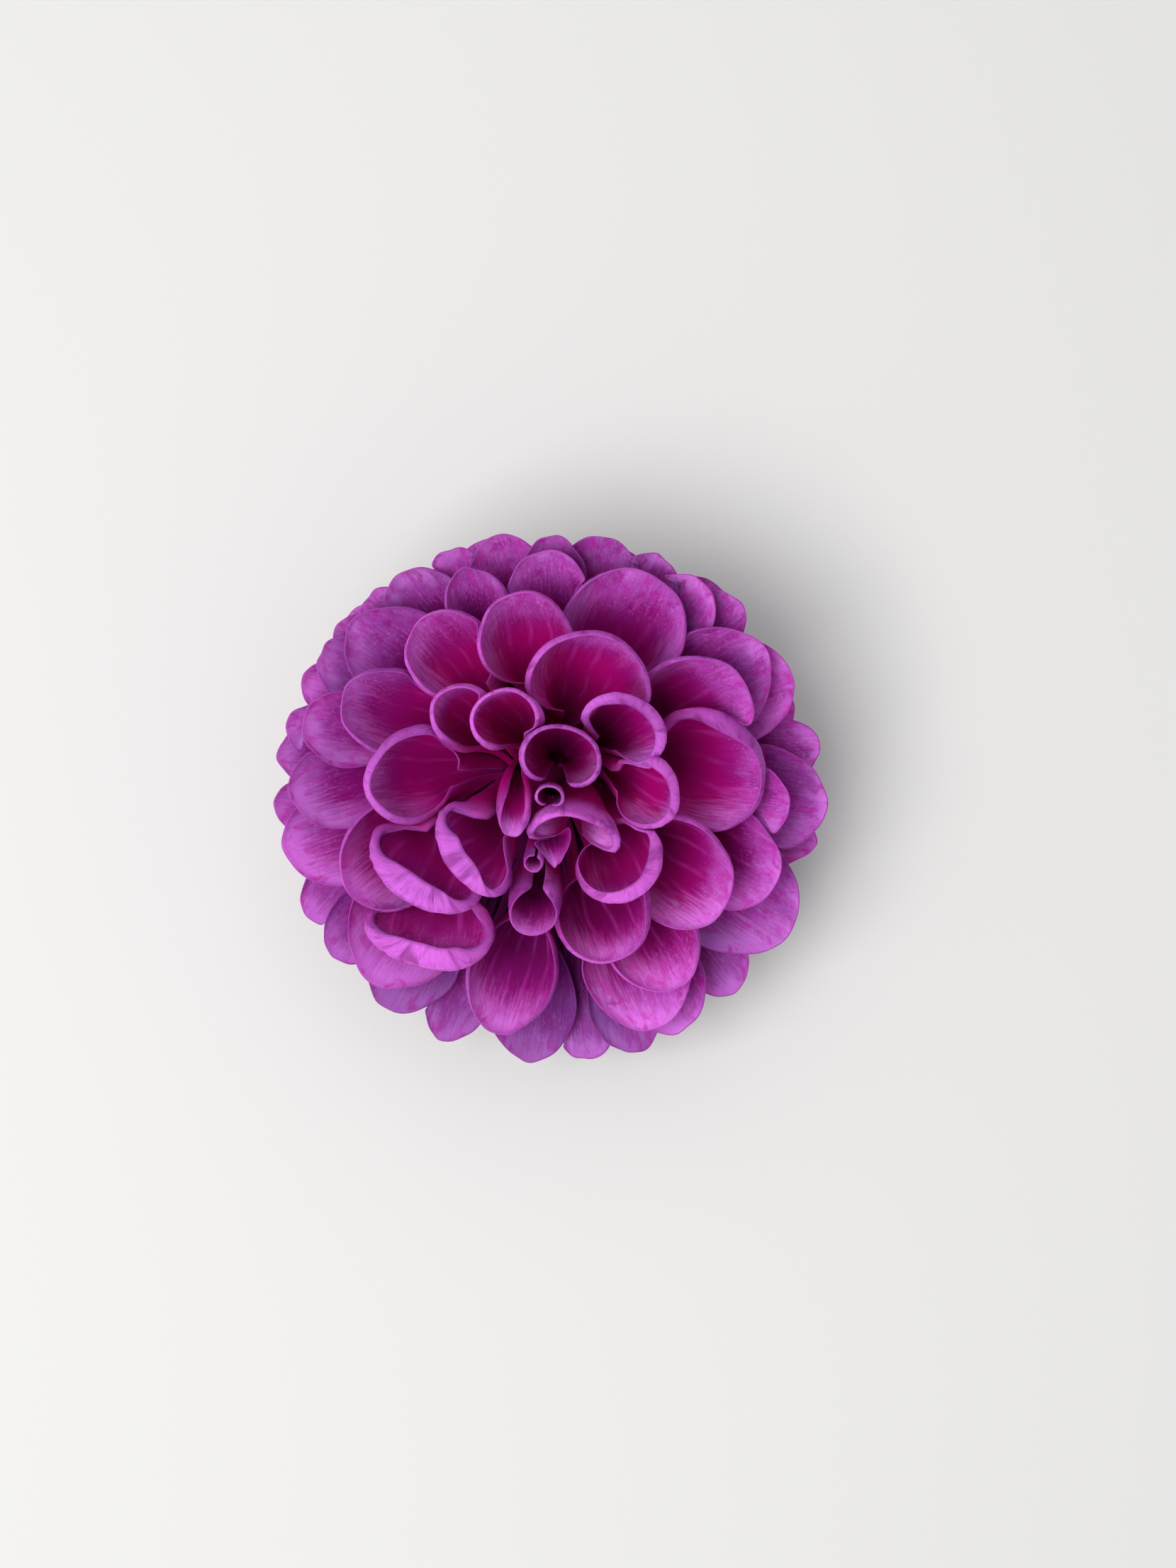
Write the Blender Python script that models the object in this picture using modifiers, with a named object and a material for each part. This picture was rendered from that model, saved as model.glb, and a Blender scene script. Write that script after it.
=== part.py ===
"""Dahlia flower head, cut with a stub of stem and lying on its back, face up.

The bloom is built in its own frame, axis upright, with the origin at the middle of its widest
circle. Each petal is placed by the azimuth and colatitude of its tip on a low dome, as on a globe.
The finished head then leans, so that it rests on its lowest petals and the edge of the stem stub.
"""
import math
from collections import namedtuple

import bmesh
import bpy
import numpy as np

MM = 0.001

# The dome that the petal tips lie on, in millimetres.
DOME_RADIUS = 52.0
DOME_RISE = 24.0
DOME_DROP = 38.0
EYE_DIMPLE = 4.0
EYE_SPREAD = 14.0

# How the head lies: it leans by LEAN degrees towards LEAN_AZIMUTH.
LEAN = 15.0
LEAN_AZIMUTH = 267.0

# The receptacle, which the petals grow from.
ROOT_RADIUS = 8.5
ROOT_TOP = -19.0
ROOT_DROP = 6.0

# Where the middle of the widest circle lies over the ground, once the head leans.
CENTRE = (0.08, 0.32, 35.0)

# The body of packed petal bases that the blades stand out of, as radius and height.
CORE_PROFILE = [(0.0, 6.0), (13.0, 7.0), (25.0, 4.0), (33.0, -3.0), (34.0, -11.0), (29.0, -18.0),
                (18.0, -24.0), (8.0, -28.0), (0.0, -28.0)]
CORE_SEGMENTS = 16

# The blades of the solid model.
BLADE_THICKNESS = 0.9
BLADE_START = 0.55
BLADE_START_BACK = 0.30
BLADE_END = 0.993
BLADE_CLOSED = 100.0
ROW_SPREAD = 0.75

# The petals under the head.
GOLDEN_ANGLE = 137.508
BACK_COUNT = 30
BACK_FIRST = 98.0
BACK_LAST = 150.0
BACK_WIDTH = 24.0
BACK_CUP = 40
BACK_NARROWING = 0.25

# Where, by colatitude, the blades start to reach down to the sides of the core.
REACH_FROM = 95.0
REACH_OVER = 30.0

# The stub of stem with its green bracts, as radius and height.
STUB_PROFILE = [(0.0, -28.4), (6.5, -28.4), (7.0, -29.6), (6.2, -31.0), (4.6, -32.6), (4.0, -34.0),
                (4.0, -38.0), (0.0, -38.0)]
STUB_SEGMENTS = 20
BRACT_COUNT = 8
BRACT_ROOT = (4.0, -30.2)
BRACT_TIP = (15.0, -28.6)
BRACT_WIDTH = 7.0
SEPAL_COUNT = 5
SEPAL_ROOT = (3.0, -31.4)
SEPAL_TIP = (11.0, -32.6)
SEPAL_WIDTH = 5.0
BRACT_THICKNESS = 0.8
BRACT_CUP = 0.18
BRACT_ROWS = (0.0, 0.4, 0.75, 1.0)
BRACT_BELLY = (0.55, 1.6, -2.0)

# Finishes.
PETAL_COLOUR = (0.36, 0.02, 0.24)
STEM_COLOUR = (0.16, 0.24, 0.05)

# How far the midrib bends inwards at the tip, by colatitude; the petals under the head bend back.
INCURVE_COLATITUDES = (0, 30, 60, 90, 110, 150)
INCURVE_DEGREES = (4, 14, 14, 8, -8, -30)
MIDRIB_PULL = 1.05

# The narrow foot of a petal: its share of the full width, and where it starts to widen.
CLAW_SHARE = 0.24
CLAW_END = 0.12

# The rounded tip: its length to the half width or to the mouth, and how it eases to a point.
TIP_LENGTH = 1.1
TIP_OF_MOUTH = 0.62
PINCH_EASE = 0.3

# The curl across a petal: the share of the mouth it opens over, and how it tightens outwards.
MOUTH_OPENING = 0.75
SPIRAL = 0.5
CURL_STEPS = 24

# The rolled margin: its widest share of the half width, and where along the petal it starts.
BAND_LIMIT = 0.7
ROLL_LEAD = 0.1
ROLL_FADE = 0.25

# A petal: azimuth and colatitude of its tip, width of the flattened blade, half angle through
# which the blade is cupped near the tip, length of the open mouth, swing of the blade off its
# azimuth, roll of the clockwise edge, the tip and the counter-clockwise edge, width of the rolled
# band, share of the band that takes the roll, lean of the tip, how pointed the tip is, and how far
# the root stands from the axis. Millimetres and degrees; None follows the colatitude.
Petal = namedtuple("Petal", "azimuth colatitude width cup mouth swing roll_cw roll_tip roll_ccw "
                   "band fold lean point root",
                   defaults=(20, 0, 20, 20, 20, 2.0, 1.0, None, 0.12, None))

HEART = [
    Petal(80, 23, 34, 166, 8, 0, 50, 50, 50, 1.3),
    Petal(86, 10, 12, 174, 3, 0, 40, 40, 40, 0.5, root=-4),
    Petal(30, 7, 30, 125, 9, 50, 150, 20, 140, 2.6, 0.6, -15),
    Petal(187, 7, 13, 174, 12, 80, 20, 30, 110, 2.2, 0.8, 45, root=-6),
    Petal(245, 8, 8, 176, 2, 0, 40, 40, 40, 0.4),
    Petal(286, 7, 9, 50, 12, lean=25, point=0.9),
]
INNER = [
    Petal(260, 21, 20.5, 160, 9, 0, 30, 20, 30, 1.0),
    Petal(203, 24, 31, 115, 14, 10, 150, 90, 20, 4.6, 0.5, 45),
    Petal(109, 32, 29, 166, 11.5, -3, 40, 40, 60, 1.4),
    Petal(124, 38, 27, 158, 21, -8, 60, 30, 60, 1.4),
    Petal(53, 35, 29, 130, 12, 0, 50, 130, 120, 3.0, 0.6),
    Petal(18, 29, 28, 145, 15, -12, 10, 80, 140, 3.0, 0.6),
    Petal(330, 24, 33, 140, 14, -12, 10, 110, 150, 3.6, 0.5),
]
MIDDLE = [
    Petal(72, 46, 37, 105, 21, -4, 50, 60, 60, 2.4),
    Petal(97, 56.5, 27, 95, 23, 0, 60, 60, 60),
    Petal(120, 59, 26, 90, 22, 0, 60, 55, 60),
    Petal(146, 60, 26, 85, 23, 0, 50, 45, 55),
    Petal(161, 43, 30, 95, 20, 0, 55, 50, 60),
    Petal(198, 51, 29, 65, 24, 8, 40, 40, 40),
    Petal(209, 36, 38, 105, 20, 30, 140, 140, 50, 5.5, 0.5),
    Petal(232, 46, 36, 95, 22, 28, 120, 140, 90, 5.0, 0.5),
    Petal(255.5, 55.5, 25, 70, 24, -5, 45, 40, 45),
    Petal(300, 33, 29, 95, 20, 0, 50, 40, 40),
    Petal(309, 51, 27, 75, 22, 0, 40, 40, 40),
    Petal(338.5, 44, 31, 100, 22, 5, 30, 40, 120, 3.4),
    Petal(15, 55, 37, 90, 24, -4, 30, 60, 130, 4.5, 0.6),
    Petal(37, 59, 29, 80, 24, 0, 50, 50, 50),
    Petal(223, 63, 28, 55, 24, 10, 35, 35, 35),
    Petal(298, 61, 26, 60, 24, 0, 35, 35, 35),
    Petal(346, 57, 24, 50, 24, 0, 30, 30, 30),
    Petal(5, 58, 22, 60, 24, 0, 30, 30, 30),
]
OUTER = [
    Petal(68, 71, 31, 70, 26, 0, 55, 50, 55),
    Petal(107, 69, 16, 80, 20, -8, 40, 40, 40),
    Petal(134, 78, 25, 65, 24, 0, 45, 45, 50),
    Petal(90, 72, 21, 70, 22, 0, 40, 40, 40),
    Petal(39, 75, 28, 65, 24, 0, 40, 40, 40),
    Petal(157, 70, 19, 55, 24, 0, 40, 40, 40),
    Petal(175, 68, 23, 60, 24, 12, 40, 40, 40),
    Petal(188, 76, 24, 50, 24, 0, 30, 30, 30),
    Petal(232, 89, 20, 45, 24, 6),
    Petal(333, 82, 29, 45, 26),
    Petal(301, 72, 20, 50, 24),
    Petal(1, 84, 24, 45, 24),
    Petal(265, 89, 19, 50, 24),
]
RIM = [
    Petal(100, 85, 19, 55, 24),
    Petal(121.5, 84, 20, 55, 24),
    Petal(111, 85, 14, 55, 24),
    Petal(89, 80, 14, 55, 24),
    Petal(78.5, 85, 20, 55, 24),
    Petal(67, 83, 14, 55, 24),
    Petal(58, 80, 19, 55, 24),
    Petal(49, 89, 17, 50, 24),
    Petal(32, 83, 24, 50, 24),
    Petal(12, 96, 15, 50, 24),
    Petal(350, 99, 15, 50, 24),
    Petal(314, 92, 17, 50, 24),
    Petal(289, 85, 16, 50, 24),
    Petal(278, 90, 14, 50, 24),
    Petal(245.5, 89, 14, 50, 24),
    Petal(216, 90, 15, 50, 24, 10),
    Petal(207, 92, 15, 50, 24, 20),
    Petal(180, 84, 14, 50, 24),
    Petal(168, 85, 14, 50, 24),
    Petal(161, 80, 14, 50, 24),
    Petal(152, 91, 12, 50, 24),
    Petal(144, 82, 15, 50, 24),
    Petal(138, 87, 14, 50, 24),
    Petal(129, 86, 14, 50, 24),
]


def dome_tip(colatitude):
    """Distance from the axis and height of a petal tip."""
    angle = math.radians(colatitude)
    rise = DOME_RISE if colatitude < 90 else DOME_DROP
    dimple = EYE_DIMPLE * math.exp(-((colatitude / EYE_SPREAD) ** 2))
    return DOME_RADIUS * math.sin(angle), rise * math.cos(angle) - dimple


def smooth(x):
    x = np.clip(x, 0.0, 1.0)
    return x * x * (3 - 2 * x)


class Midrib:
    """The line down the middle of a petal, from its root on the receptacle to its tip."""

    def __init__(self, petal):
        share = min(petal.colatitude / 100.0, 1.0)
        root_radius = 1.0 + (ROOT_RADIUS - 1.0) * share if petal.root is None else petal.root
        self.root = np.array([root_radius, ROOT_TOP - ROOT_DROP * share * share])
        radius, height = dome_tip(petal.colatitude)
        swing = math.radians(petal.swing)
        self.tip = np.array([radius * math.cos(swing), height])
        self.offset = -radius * math.sin(swing)
        reach = self.tip - self.root
        self.length = float(np.hypot(*reach))
        chord = math.degrees(math.atan2(reach[0], reach[1]))
        curve = np.interp(petal.colatitude, INCURVE_COLATITUDES, INCURVE_DEGREES)
        start = math.radians(chord + curve)
        end = math.radians(chord - curve if petal.lean is None else petal.lean)
        self.start_pull = MIDRIB_PULL * self.length * np.array([math.sin(start), math.cos(start)])
        self.end_pull = MIDRIB_PULL * self.length * np.array([math.sin(end), math.cos(end)])
        heading = math.radians(petal.azimuth + petal.swing)
        self.along = np.array([math.cos(heading), math.sin(heading), 0.0])
        self.across = np.array([-math.sin(heading), math.cos(heading), 0.0])

    def frames(self, t):
        """Places, tangents and inward normals at shares t of the length."""
        t = t[:, None]
        flat = ((2 * t**3 - 3 * t**2 + 1) * self.root + (t**3 - 2 * t**2 + t) * self.start_pull
                + (3 * t**2 - 2 * t**3) * self.tip + (t**3 - t**2) * self.end_pull)
        slope = ((6 * t**2 - 6 * t) * self.root + (3 * t**2 - 4 * t + 1) * self.start_pull
                 + (6 * t - 6 * t**2) * self.tip + (3 * t**2 - 2 * t) * self.end_pull)
        slope /= np.linalg.norm(slope, axis=1)[:, None]
        up = np.array([0.0, 0.0, 1.0])
        places = flat[:, :1] * self.along + flat[:, 1:] * up + self.offset * self.across
        tangents = slope[:, :1] * self.along + slope[:, 1:] * up
        inward = -slope[:, 1:] * self.along + slope[:, :1] * up
        return places, tangents, inward


def tip_start(petal, length):
    """Share of the length at which the rounded tip of a petal starts."""
    return 1.0 - (TIP_LENGTH + petal.point) * min(petal.width / 2, TIP_OF_MOUTH * petal.mouth) / length


def petal_points(petal, rib, a, t, tau):
    """Points of a petal's face at shares a of the half width, t of the length and tau of the tip."""
    half = petal.width / 2.0
    size = np.abs(a)
    side = np.sign(a)
    places, tangents, inward = rib.frames(t)
    across = rib.across[None, :]
    pinch = 1 - petal.point * tau**2 * (1 - PINCH_EASE * tau)

    throat = 1.0 - petal.mouth / rib.length
    opened = np.clip((t - throat) / (MOUTH_OPENING * (1 - throat)), 0.0, 1.0)
    curl = np.radians(BLADE_CLOSED - (BLADE_CLOSED - petal.cup) * np.sqrt(1 - (1 - opened) ** 2))
    bend = tip_start(petal, rib.length)
    claw = half * pinch * (CLAW_SHARE + (1 - CLAW_SHARE) * smooth((t - CLAW_END) / (bend - CLAW_END)))
    steps = (np.arange(CURL_STEPS) + 0.5) / CURL_STEPS
    reach = size[:, None] * steps
    turn = curl[:, None] * SPIRAL * (reach + reach**2)
    x = np.cos(turn).mean(axis=1) * size * claw
    y = np.sin(turn).mean(axis=1) * size * claw
    angle = curl * SPIRAL * (size + size**2)
    base = places + (side * x)[:, None] * across + y[:, None] * inward
    outwards = (side * np.cos(angle))[:, None] * across + np.sin(angle)[:, None] * inward
    facing = (-side * np.sin(angle))[:, None] * across + np.cos(angle)[:, None] * inward

    edge = np.sqrt(a**2 + tau**2)
    band = min(petal.band / half, BAND_LIMIT)
    rolled = np.clip((edge - 1 + band) / band, 0.0, 1.0)
    round_side = smooth(np.arctan2(size, tau + 1e-6) / (math.pi / 2))
    roll_side = np.where(a > 0, petal.roll_ccw, petal.roll_cw)
    roll = np.radians(petal.roll_tip + (roll_side - petal.roll_tip) * round_side)
    roll = roll * smooth((t - throat + ROLL_LEAD) / ROLL_FADE)
    away = size[:, None] * outwards + tau[:, None] * tangents
    away /= np.maximum(np.linalg.norm(away, axis=1), 1e-9)[:, None]
    bent = roll[:, None] * smooth(rolled[:, None] * steps / petal.fold)
    pull = petal.band * rolled * (np.cos(bent).mean(axis=1) - 1)
    lift = petal.band * rolled * np.sin(bent).mean(axis=1)
    return base + pull[:, None] * away + lift[:, None] * facing


def lie(points):
    """Turns points of the upright bloom, in mm, to how the head lies on the ground, in metres."""
    lean = math.radians(LEAN)
    towards = math.radians(LEAN_AZIMUTH)
    axle = np.array([-math.sin(towards), math.cos(towards), 0.0])
    points = np.atleast_2d(points)
    turned = (points * math.cos(lean) + np.cross(axle, points) * math.sin(lean)
              + np.outer(points @ axle, axle) * (1 - math.cos(lean)))
    return (turned + np.array(CENTRE)) * MM


def sheet(name, grid, thickness, collection):
    """A blade: a square grid moved onto the given points, split into triangles and thickened."""
    rows, columns = grid.shape[:2]
    points = lie(grid.reshape(-1, 3))
    points[:, 2] = np.maximum(points[:, 2], thickness * MM / 2)
    mesh = bpy.data.meshes.new(name)
    bm = bmesh.new()
    bmesh.ops.create_grid(bm, x_segments=columns - 1, y_segments=rows - 1, size=1.0)
    for vert in bm.verts:
        column = round((vert.co.x + 1) / 2 * (columns - 1))
        row = round((vert.co.y + 1) / 2 * (rows - 1))
        vert.co = points[row * columns + column]
    bmesh.ops.triangulate(bm, faces=bm.faces)
    bm.to_mesh(mesh)
    bm.free()
    blade = bpy.data.objects.new(name, mesh)
    collection.objects.link(blade)
    solidify = blade.modifiers.new("Thickness", "SOLIDIFY")
    solidify.thickness = thickness * MM
    solidify.offset = 0.0
    return blade


def turned(name, profile, segments, collection):
    """A solid of revolution about the bloom's axis, from a profile of radius and height in mm."""
    mesh = bpy.data.meshes.new(name)
    bm = bmesh.new()
    ring = [bm.verts.new((radius, 0.0, height)) for radius, height in profile]
    edges = [bm.edges.new(pair) for pair in zip(ring, ring[1:])]
    bmesh.ops.spin(bm, geom=ring + edges, axis=(0, 0, 1), cent=(0, 0, 0), angle=2 * math.pi,
                   steps=segments, use_merge=True)
    bmesh.ops.remove_doubles(bm, verts=bm.verts, dist=0.0001)
    bmesh.ops.recalc_face_normals(bm, faces=bm.faces)
    places = lie(np.array([vert.co for vert in bm.verts]))
    for vert, place in zip(bm.verts, places):
        vert.co = (place[0], place[1], max(place[2], 0.0))
    bm.to_mesh(mesh)
    bm.free()
    solid = bpy.data.objects.new(name, mesh)
    collection.objects.link(solid)
    return solid


def keep_largest(mesh):
    """Fills sealed hollows and drops loose scraps, by keeping only the largest connected surface."""
    bm = bmesh.new()
    bm.from_mesh(mesh)
    left = set(bm.faces)
    islands = []
    while left:
        island = {left.pop()}
        front = list(island)
        while front:
            face = front.pop()
            for edge in face.edges:
                for other in edge.link_faces:
                    if other in left:
                        left.remove(other)
                        island.add(other)
                        front.append(other)
        islands.append(island)
    islands.sort(key=len, reverse=True)
    for island in islands[1:]:
        bmesh.ops.delete(bm, geom=list(island), context="FACES")
    bm.to_mesh(mesh)
    bm.free()


def fuse(name, core, pieces, solver):
    """Joins a collection of solids to their core in one Boolean union, and removes them."""
    union = core.modifiers.new("Fuse", "BOOLEAN")
    union.operation = "UNION"
    union.operand_type = "COLLECTION"
    union.collection = pieces
    union.solver = solver
    depsgraph = bpy.context.evaluated_depsgraph_get()
    mesh = bpy.data.meshes.new_from_object(core.evaluated_get(depsgraph))
    mesh.name = name
    keep_largest(mesh)
    core.modifiers.clear()
    core.data = mesh
    core.name = name
    for piece in list(pieces.objects):
        bpy.data.objects.remove(piece)
    bpy.data.collections.remove(pieces)
    return core


def material(name, colour, roughness):
    finish = bpy.data.materials.new(name)
    finish.use_nodes = True
    shader = finish.node_tree.nodes["Principled BSDF"]
    shader.inputs["Base Color"].default_value = (*colour, 1.0)
    shader.inputs["Roughness"].default_value = roughness
    shader.inputs["Metallic"].default_value = 0.0
    return finish


def new_collection(name):
    collection = bpy.data.collections.new(name)
    bpy.context.scene.collection.children.link(collection)
    return collection


def blade_grid(petal, across, along):
    """Grid of points of a petal's face, from where it leaves the core to its tip."""
    rib = Midrib(petal)
    start = BLADE_START - BLADE_START_BACK * smooth((petal.colatitude - REACH_FROM) / REACH_OVER)
    rows = start + (BLADE_END - start) * np.linspace(0.0, 1.0, along + 1) ** ROW_SPREAD
    columns = np.sin(np.linspace(-1.0, 1.0, across + 1) * math.pi / 2)
    t, a = [grid.ravel() for grid in np.meshgrid(rows, columns, indexing="ij")]
    bend = tip_start(petal, rib.length)
    tau = np.clip((t - bend) / (1 - bend), 0.0, 1.0)
    a = a * np.sqrt(1 - tau**2)
    return petal_points(petal, rib, a, t, tau).reshape(along + 1, across + 1, 3)


def back_petals():
    """The petals under the head, turned by the golden angle from one to the next."""
    for index in range(BACK_COUNT):
        share = index / (BACK_COUNT - 1)
        yield Petal(index * GOLDEN_ANGLE, BACK_FIRST + (BACK_LAST - BACK_FIRST) * share,
                    BACK_WIDTH * (1 - BACK_NARROWING * share), BACK_CUP)


def make_bloom(collection):
    blades = new_collection("blades")
    for index, petal in enumerate(HEART):
        sheet(f"heart_petal_{index}", blade_grid(petal, 3, 2), BLADE_THICKNESS, blades)
    for index, petal in enumerate(INNER + MIDDLE):
        sheet(f"petal_{index}", blade_grid(petal, 3, 3), BLADE_THICKNESS, blades)
    for index, petal in enumerate(OUTER + RIM + list(back_petals())):
        sheet(f"outer_petal_{index}", blade_grid(petal, 2, 3), BLADE_THICKNESS, blades)
    core = turned("core", CORE_PROFILE, CORE_SEGMENTS, collection)
    bloom = fuse("bloom", core, blades, "MANIFOLD")
    bloom.data.materials.clear()
    bloom.data.materials.append(material("petal magenta", PETAL_COLOUR, 0.5))
    return bloom


def bract_grid(azimuth, root, tip, width):
    """A pointed green bract between a root and a tip, each given as radius and height."""
    heading = math.radians(azimuth)
    along = np.array([math.cos(heading), math.sin(heading), 0.0])
    across = np.array([-math.sin(heading), math.cos(heading), 0.0])
    grid = np.zeros((len(BRACT_ROWS), 3, 3))
    for row, t in enumerate(BRACT_ROWS):
        radius = root[0] + (tip[0] - root[0]) * t
        height = root[1] + (tip[1] - root[1]) * t * t
        half = width / 2 * (BRACT_BELLY[0] + BRACT_BELLY[1] * t + BRACT_BELLY[2] * t * t)
        for column, s in enumerate((-1.0, 0.0, 1.0)):
            grid[row, column] = radius * along + half * s * across
            grid[row, column, 2] = height + BRACT_CUP * half * s * s
    return grid


def make_stem(collection):
    bracts = new_collection("bracts")
    for index in range(BRACT_COUNT):
        azimuth = 360.0 * index / BRACT_COUNT
        sheet(f"inner_bract_{index}", bract_grid(azimuth, BRACT_ROOT, BRACT_TIP, BRACT_WIDTH),
              BRACT_THICKNESS, bracts)
    for index in range(SEPAL_COUNT):
        azimuth = 360.0 * (index + 0.25) / SEPAL_COUNT
        sheet(f"outer_bract_{index}", bract_grid(azimuth, SEPAL_ROOT, SEPAL_TIP, SEPAL_WIDTH),
              BRACT_THICKNESS, bracts)
    stub = turned("stub", STUB_PROFILE, STUB_SEGMENTS, collection)
    stem = fuse("stem", stub, bracts, "EXACT")
    stem.data.materials.clear()
    stem.data.materials.append(material("stem green", STEM_COLOUR, 0.6))
    return stem


def main():
    for old in list(bpy.data.objects):
        bpy.data.objects.remove(old)
    dahlia = new_collection("dahlia_flower")
    make_bloom(dahlia)
    make_stem(dahlia)


main()
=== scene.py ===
"""Looks of the dahlia flower head: fine petals in whorls, green bracts and the cut stub of stem.

The bloom is built in its own upright frame in millimetres, then leant over and moved to where the
solids lie. Each petal is placed by the azimuth and colatitude of its tip on a low dome, as on a globe.
"""
import math
from collections import namedtuple

import bmesh
import bpy
import numpy as np
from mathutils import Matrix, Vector
from mathutils.bvhtree import BVHTree


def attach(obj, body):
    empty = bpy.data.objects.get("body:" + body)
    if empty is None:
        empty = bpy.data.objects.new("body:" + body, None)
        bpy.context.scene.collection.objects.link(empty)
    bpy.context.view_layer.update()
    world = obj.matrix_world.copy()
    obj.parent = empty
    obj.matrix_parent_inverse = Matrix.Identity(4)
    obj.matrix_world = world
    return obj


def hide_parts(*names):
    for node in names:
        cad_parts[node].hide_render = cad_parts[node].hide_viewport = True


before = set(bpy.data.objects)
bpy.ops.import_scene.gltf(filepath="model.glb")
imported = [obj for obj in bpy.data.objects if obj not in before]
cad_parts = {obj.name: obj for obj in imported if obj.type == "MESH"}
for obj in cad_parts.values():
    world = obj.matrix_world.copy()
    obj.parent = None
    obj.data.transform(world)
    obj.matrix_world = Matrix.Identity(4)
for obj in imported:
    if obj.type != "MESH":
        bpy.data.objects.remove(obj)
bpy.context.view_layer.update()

MM = 0.001

# The dome that the petal tips lie on, in millimetres.
DOME_RADIUS = 52.0
DOME_RISE = 24.0
DOME_DROP = 38.0
EYE_DIMPLE = 4.0
EYE_SPREAD = 14.0

# How the head lies: it leans by LEAN degrees towards LEAN_AZIMUTH, its middle over CENTRE.
LEAN = 15.0
LEAN_AZIMUTH = 267.0
CENTRE = (0.08, 0.32, 35.0)

# Where the petals grow from: their distance from the axis in the eye and from a colatitude on, and
# their height and how far it drops.
ROOT_EYE = 1.0
ROOT_RADIUS = 8.5
ROOT_WIDEST = 100.0
ROOT_TOP = -19.0
ROOT_DROP = 6.0

# The grid of one petal: quads across, along its body and round its tip, and how they crowd to its edge.
COLUMNS = 26
BODY_ROWS = 15
TIP_ROWS = 13
COLUMN_EASE = (0.55, 0.45)
ROW_EASE = (0.6, 0.4)
BLADE_START = 0.10

# More than the corners of any shape whose faces are sorted.
MOST_CORNERS = 1e4

# Thickness of the blade at its base and at its rim, what it has more inside the rolled margin, and the
# share of its length over which it thins.
THICK_BASE = 0.7
THICK_RIM = 0.22
THICK_MIDDLE = 0.1
THICK_UP_TO = 0.8

# How far the midrib bends inwards at the tip, by colatitude; the petals under the head bend back.
INCURVE = ((0, 30, 60, 90, 110, 150), (4, 14, 14, 8, -8, -30))
MIDRIB_PULL = 1.05

# The narrow foot of a petal: its share of the full width, and where it widens.
CLAW_SHARE = 0.24
CLAW_END = 0.12
CLAW_WIDENS = 0.08

# The rounded tip: its length to the half width or to the mouth, and how it eases to a point.
TIP_LENGTH = 1.1
TIP_OF_MOUTH = 0.62
PINCH_EASE = 0.3

# The curl across a petal: its half angle where it is closed, below the mouth, the share of the mouth it
# opens over, how it tightens outwards, the shares of the way out that it is summed over, and how much
# wider and lower a flat petal is.
CLOSED = 198.0
MOUTH_OPENING = 0.75
SPIRAL = 0.5
CURL_SHARES = (np.arange(24) + 0.5) / 24
FLAT_WIDER = 0.6
FLAT_LOWER = 0.5

# The rolled margin: its widest share of the half width, and where along the petal it starts.
BAND_LIMIT = 0.7
ROLL_LEAD = 0.1
ROLL_FADE = 0.25

# What makes a blade uneven, by height in mm and by ripples across and along it. Each _FROM pair gives
# where it starts and over what share it comes in, from the midrib or the throat outwards.
RAGGED = ((0.14, 6.5, 0.0), (0.06, 13, 4))
RAGGED_FROM = (0.5, 0.5)
WAVES = ((0.16, 5.2, 6), (0.10, 9.0, -14))
WAVES_FROM = ((0.3, 0.7), (0.5, 0.5))
WAVES_PAST_THROAT = 0.3

# The upper part of a petal, where it starts and over what share of the length it comes in.
UPPER_PART = (0.4, 0.3)

# Grooves along the veins: their depth in mm, how dense they are, how they wander, and where they come
# in along the petal and go out across it.
GROOVE_DEPTH = 0.07
GROOVE_DENSITY = (20, 26)
GROOVE_WANDER = (2.5, 5)
GROOVES_IN = (0.0, 0.4)
GROOVES_OUT = (0.75, 0.25)

# Room between petals, in mm: how far apart tips are whose petals can meet, how far a blade is moved
# behind the petals over it, and how its margins stay clear of the backs before them.
MEET_WITHIN = 42.0
AHEAD_REACH = 2.5
BEHIND_GAP = 0.6
MARGIN_GAP = 0.55
MARGIN_START = 0.4
MARGIN_SHORTEST = 0.6
MARGIN_PAST = 0.5

# A petal stands behind those at least this far further in and at most this far to its side, in degrees.
RANK_STEP = 6
BESIDE = 28

# The petals under the head.
GOLDEN_ANGLE = 137.508
BACK_COUNT = 36
BACK_FIRST = 98
BACK_SPAN = 52
BACK_WIDTH = 24
BACK_NARROWING = 0.25
BACK_CUP = 40

# The petals and bracts lie at least this high over the ground, in metres.
GROUND_GAP = 0.0002

# Painted light: the way a margin points where it is painted palest, as if lit from the lower left, by how
# much that varies, and how far a pale lip reaches inwards as a share of the half width.
PAINTED_LIGHT_SIDE = np.array([-0.5, -0.85, 0.1])
PALE_VARIES = (-0.1, 0.1)
LIP_WIDTH = 0.8

# Length in mm of the deep colour in a petal's throat, by colatitude, and how it narrows upwards.
THROAT_LENGTH = ((5, 20, 45, 85), (9, 14, 20, 36))
THROAT_NARROWS = 0.4

# Patterns are measured along the petal in this many mm, and each petal has its own piece of them.
PATTERN_UNIT = 10.0
PATTERN_SPREAD = 50

# Where, by colatitude, the outer petals start to take painted shade, and how much more of it those on the low
# side of the head take.
PAINTED_SHADE_FROM = 50
PAINTED_SHADE_OVER = 35
LOW_SIDE_PAINTED_SHADE = 1.3

# A petal: azimuth and colatitude of its tip, width of the flattened blade, half angle through which
# the blade is cupped near the tip, length of the open mouth, swing of the blade off its azimuth, roll
# of the clockwise edge, the tip and the counter-clockwise edge, width of the rolled band, share of the
# band that takes the roll, lean of the tip, how pointed the tip is, how far the root stands from the
# axis, and how flat the cup is pressed. Millimetres and degrees; None follows the colatitude.
Petal = namedtuple("Petal", "azimuth colatitude width cup mouth swing roll_cw roll_tip roll_ccw "
                   "band fold lean point root flat",
                   defaults=(20, 0, 20, 20, 20, 2.0, 1.0, None, 0.12, None, 0.0))

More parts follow.
